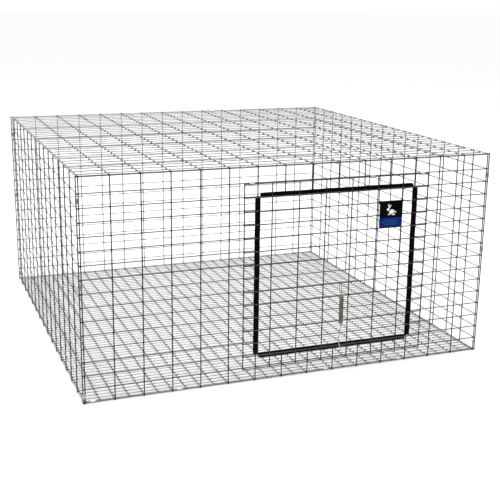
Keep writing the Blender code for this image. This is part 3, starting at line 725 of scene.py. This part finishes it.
# ------------------------------------------------------------------------------------------------
# Name plate.  A stamped sheet painted satin black with a blue band across its foot, hung on the
# door by its top edge, which is folded over a row.  The printed mark is a plain hare made of ovals.
plate_black = plastic("plate_black", (0.002, 0.002, 0.0025), (0.016, 0.016, 0.017), 0.30, 0.3, 0.00004)
band_blue = plastic("band_blue", (0.001, 0.017, 0.138), (0.005, 0.038, 0.20), 0.30, 0.6, 0.00004)
rule_blue = plastic("rule_blue", (0.02, 0.10, 0.30), (0.03, 0.12, 0.30), 0.40, 0.4, 0.00004)
mark_white = plastic("mark_white", (0.72, 0.72, 0.70), (0.50, 0.50, 0.48), 0.45, 0.5, 0.00004)
plate_low, plate_high = np.array(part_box("name_plate"))
face_y = plate_low[1] + 0.0002           # front of the sheet, behind the ink
gauge = 0.0008
fold = plate_high[2] - wire / 2 - 0.0013                     # height of the row inside the fold


def plate_sheet(left, right, foot, corner):
    """The folded sheet: its middle line rises to the fold, turns over it in a half circle and ends
    behind it.  Near both side edges the foot rises by a quarter circle for the rounded corners."""
    u = (left + right) / 2 - (right - left) / 2 * np.cos(np.linspace(0, np.pi, 13))
    near = np.clip(1 - np.minimum(u - left, right - u) / corner, 0, 1)
    start = foot + corner * (1 - np.sqrt(1 - near ** 2))
    radius = (plate_high[1] - plate_low[1] - gauge - 0.0003) / 2
    turn = np.radians(np.linspace(180, 0, 11))
    rise = np.linspace(0, 1, 9)[:-1]
    y = np.concatenate((np.full(len(rise), -radius), radius * np.cos(turn), (radius, radius)))
    over = fold + np.concatenate((radius * np.sin(turn), (-0.0018, -0.0036)))
    front = start[:, None] + (fold - start)[:, None] * rise
    z = np.concatenate((front, np.broadcast_to(over, (len(u), len(over)))), 1)
    rows, across = z.shape[1], len(u)
    middle = face_y + gauge / 2 + radius
    line = np.stack((np.broadcast_to(u[:, None], z.shape), np.broadcast_to(middle + y, z.shape), z), -1)
    slope = np.gradient(line[across // 2], axis=0)
    normal = np.stack((np.zeros(rows), -slope[:, 2], slope[:, 1]), -1)
    normal /= np.linalg.norm(slope, axis=1)[:, None]
    shells = np.concatenate((line + normal * gauge / 2, (line - normal * gauge / 2)[::-1]))
    i, j = np.meshgrid(np.arange(2 * across), np.arange(rows - 1), indexing="ij")
    after = (i + 1) % (2 * across)
    quads = np.stack((i * rows + j, after * rows + j, after * rows + j + 1, i * rows + j + 1), -1)
    k = np.arange(across - 1)
    caps = [np.stack((k * rows + end, (2 * across - 1 - k) * rows + end, (2 * across - 2 - k) * rows + end,
                      (k + 1) * rows + end), -1)[:, ::step] for end, step in ((0, 1), (rows - 1, -1))]
    return shells.reshape(-1, 3), quads.reshape(-1, 4).tolist() + np.concatenate(caps).tolist()


def ink(outline, out, thick):
    """A flat printed shape: an outline (x, z) seen from the front, as a closed slab from y = `out`
    to `thick` before it."""
    count = len(outline)
    points = np.array([(x, out - d, z) for d in (0, thick) for x, z in outline])
    j = np.arange(count)
    after = (j + 1) % count
    rim = np.stack((j, after, after + count, j + count), -1)
    return points, rim.tolist() + [j[::-1].tolist(), (j + count).tolist()]


points, faces = plate_sheet(plate_low[0], plate_high[0], plate_low[2], 0.0028)
add_piece("folded_plate", [(points, faces, 0.0)], plate_black, "door", "name_plate")


def rounded(x, z, half_wide, half_high, corner):
    """A rounded rectangle's outline: four quarter circles of eight points each."""
    t = np.radians(np.arange(4)[:, None] * 90 + np.linspace(0, 90, 8)).ravel()
    sign = np.repeat(((1, 1), (-1, 1), (-1, -1), (1, -1)), 8, axis=0)
    return np.stack((x + sign[:, 0] * (half_wide - corner) + corner * np.cos(t),
                     z + sign[:, 1] * (half_high - corner) + corner * np.sin(t)), -1)


def oval(x, z, half_long, half_wide, lean):
    """An ellipse's outline of 28 points, turned by `lean` degrees."""
    t = 2 * np.pi * np.arange(28) / 28
    cos, sin = math.cos(math.radians(lean)), math.sin(math.radians(lean))
    a, b = half_long * np.cos(t), half_wide * np.sin(t)
    return np.stack((x + a * cos - b * sin, z + a * sin + b * cos), -1)


paint = 0.00006                          # thickness of one layer of ink
x, z = (plate_low[0] + plate_high[0]) / 2, plate_low[2]
half_band = (plate_high[0] - plate_low[0]) / 2 - 0.0011
band = ink(rounded(x, z + 0.0094, half_band, 0.0083, 0.0022), face_y, paint)
rules = [ink(rounded(x, z + h, w, 0.00035, 0.0003), face_y - paint, paint)
         for h, w in ((0.0128, 0.0135), (0.0092, 0.0165), (0.0056, 0.0120))]
hare = [ink(oval(x + dx, z + dz, a, b, lean), face_y, paint)
        for dx, dz, a, b, lean in ((0.0014, 0.0283, 0.0056, 0.0040, 12),       # body
                                   (-0.0061, 0.0330, 0.0028, 0.0024, 20),      # head
                                   (-0.0052, 0.0393, 0.0037, 0.0011, 104),     # ears
                                   (-0.0023, 0.0382, 0.0035, 0.0011, 62),
                                   (0.0091, 0.0275, 0.0014, 0.0014, 0),        # tail
                                   (-0.0036, 0.0236, 0.0028, 0.0009, 4),       # feet
                                   (0.0052, 0.0232, 0.0036, 0.0010, 0))]
for name, shells, material in (("plate_band", [band], band_blue), ("plate_rules", rules, rule_blue),
                               ("plate_mark", hare, mark_white)):
    add_piece(name, [(*shell, 0.0) for shell in shells], material, "door", "name_plate")
